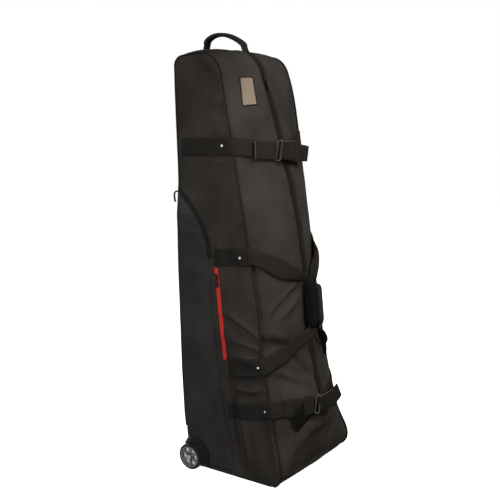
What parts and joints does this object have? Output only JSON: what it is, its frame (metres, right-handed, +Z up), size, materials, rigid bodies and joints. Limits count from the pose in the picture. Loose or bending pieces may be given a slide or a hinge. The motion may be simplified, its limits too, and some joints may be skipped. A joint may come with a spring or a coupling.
{
  "type": "golf travel case",
  "caption": "Soft upright travel case for a golf bag: tapered padded body, centre zip with opening front flaps, strap buckles, haul loops, side pocket and two wheels.",
  "frame": {"origin": "middle of the base's underside, on the floor", "axes": "+Z up, -Y towards the zipped front, +X to the case's own left as seen from behind (right in a front view)"},
  "size_m": [0.4436, 0.4302, 1.284],
  "materials": {
    "nylon": "matte woven nylon, black",
    "pocket_nylon": "smooth coated nylon, black",
    "webbing": "ribbed polyester webbing, black",
    "tape": "woven zip tape, black",
    "red_tape": "coated zip tape, red",
    "padding": "padded fabric sleeve, black",
    "foam": "foam padding, grey",
    "board": "stiffening board, black",
    "base": "tough coated base, black",
    "moulded": "satin moulded plastic, black",
    "tyre": "matte rubber, black",
    "silver": "silver painted plastic",
    "steel": "bright steel",
    "zinc": "dark plated zinc",
    "window": "clear vinyl over a pale card"
  },
  "bodies": {
    "case": {"base_panel": "base", "base_board": "board", "kick_panel": "nylon", "top_cap": "nylon", "back_panel": "nylon", "back_foam_pad": "foam", "side_panel_left": "nylon", "side_panel_right": "nylon", "piping_left": "webbing", "piping_right": "webbing", "side_pocket": "pocket_nylon", "pocket_zip_tape": "tape", "red_zip_tape": "red_tape", "zip_tape_top": "tape", "card_window": "window", "upper_strap_sewn_left": "webbing", "lower_strap_sewn_left": "webbing", "upper_strap_sewn_right": "webbing", "lower_strap_sewn_right": "webbing", "haul_patch_upper_left": "webbing", "haul_patch_lower_left": "webbing", "haul_patch_upper_right": "webbing", "haul_patch_lower_right": "webbing", "top_handle_leg_back": "webbing", "top_handle_leg_front": "webbing", "wheel_housing_left": "moulded", "wheel_housing_right": "moulded", "axle_left": "steel", "axle_right": "steel"},
    "left_flap": {"front_flap_left": "nylon", "zip_tape_left": "tape", "upper_strap_left": "webbing", "lower_strap_left": "webbing", "upper_buckle_socket": "moulded", "lower_buckle_socket": "moulded"},
    "right_flap": {"front_flap_right": "nylon", "zip_tape_right": "tape", "upper_strap_right": "webbing", "lower_strap_right": "webbing"},
    "upper_lock": {"upper_buckle_lock": "moulded", "upper_buckle_arms": "moulded"},
    "lower_lock": {"lower_buckle_lock": "moulded", "lower_buckle_arms": "moulded"},
    "haul_left": {"haul_left_web": "webbing", "haul_left_grip": "padding"},
    "haul_right": {"haul_right_web": "webbing", "haul_right_grip": "padding"},
    "main_slider": {"main_zip_slider": "zinc"},
    "main_puller": {"main_zip_puller": "zinc"},
    "red_slider": {"red_zip_slider": "zinc"},
    "red_puller": {"red_zip_puller": "zinc"},
    "pocket_slider": {"pocket_zip_slider": "zinc"},
    "pocket_puller": {"pocket_zip_puller": "zinc"},
    "top_handle": {"top_handle_grip": "webbing"},
    "wheel_left": {"tyre_left": "tyre", "hub_left": "silver", "bearing_left": "steel"},
    "wheel_right": {"tyre_right": "tyre", "hub_right": "silver", "bearing_right": "steel"}
  },
  "joints": [
    {"name": "wheel_left_spin", "type": "hinge", "parent": "case", "child": "wheel_left", "pos_m": [-0.2075, 0.1375, 0.0405], "axis": [1, 0, 0], "continuous": true},
    {"name": "wheel_right_spin", "type": "hinge", "parent": "case", "child": "wheel_right", "pos_m": [0.2075, 0.1375, 0.0405], "axis": [1, 0, 0], "continuous": true},
    {"name": "left_flap_hinge", "type": "hinge", "parent": "case", "child": "left_flap", "pos_m": [-0.165, -0.0824, 0.614], "axis": [0, -0.1483, -0.9889], "range_deg": [0, 100]},
    {"name": "right_flap_hinge", "type": "hinge", "parent": "case", "child": "right_flap", "pos_m": [0.165, -0.0824, 0.614], "axis": [0, 0.1483, 0.9889], "range_deg": [0, 100]},
    {"name": "upper_buckle_slide", "type": "slide", "parent": "left_flap", "child": "upper_lock", "axis": [0.9593, -0.2817, -0.0219], "range_m": [0, 0.036], "deforming": ["upper_buckle_arms", "upper_strap_right"]},
    {"name": "lower_buckle_slide", "type": "slide", "parent": "left_flap", "child": "lower_lock", "axis": [0.947, -0.3208, -0.0153], "range_m": [0, 0.036], "deforming": ["lower_buckle_arms", "lower_strap_right"]},
    {"name": "haul_left_swing", "type": "hinge", "parent": "left_flap", "child": "haul_left", "pos_m": [-0.165, -0.0824, 0.614], "axis": [0, -0.1483, -0.9889], "range_deg": [0, 55]},
    {"name": "haul_right_swing", "type": "hinge", "parent": "right_flap", "child": "haul_right", "pos_m": [0.165, -0.0824, 0.614], "axis": [0, 0.1483, 0.9889], "range_deg": [0, 55]},
    {"name": "main_zip_run", "type": "hinge", "parent": "case", "child": "main_slider", "pos_m": [0, 4.83407, -0.21468], "axis": [1, 0, 0], "range_deg": [0, 11.6]},
    {"name": "main_puller_flip", "type": "hinge", "parent": "main_slider", "child": "main_puller", "pos_m": [0, -0.0361, 1.14748], "axis": [-1, 0, 0], "range_deg": [0, 150]},
    {"name": "red_zip_run", "type": "slide", "parent": "case", "child": "red_slider", "axis": [0, -0.074, -0.9973], "range_m": [0, 0.215]},
    {"name": "red_puller_flip", "type": "hinge", "parent": "red_slider", "child": "red_puller", "pos_m": [-0.1732, 0.03743, 0.59764], "axis": [0, 0.9973, -0.074], "range_deg": [0, 150]},
    {"name": "pocket_zip_run", "type": "hinge", "parent": "case", "child": "pocket_slider", "pos_m": [-0.165, 0.3035, 0.64], "axis": [1, 0, 0], "range_deg": [0, 46]},
    {"name": "pocket_puller_flip", "type": "hinge", "parent": "pocket_slider", "child": "pocket_puller", "pos_m": [-0.1732, 0.15219, 0.83095], "axis": [0, 0.6326, -0.7745], "range_deg": [0, 150]},
    {"name": "top_handle_sway", "type": "hinge", "parent": "case", "child": "top_handle", "pos_m": [0, 0.102, 1.234], "axis": [0, 1, 0], "range_deg": [-50, 50], "deforming": ["top_handle_leg_back", "top_handle_leg_front"]}
  ]
}
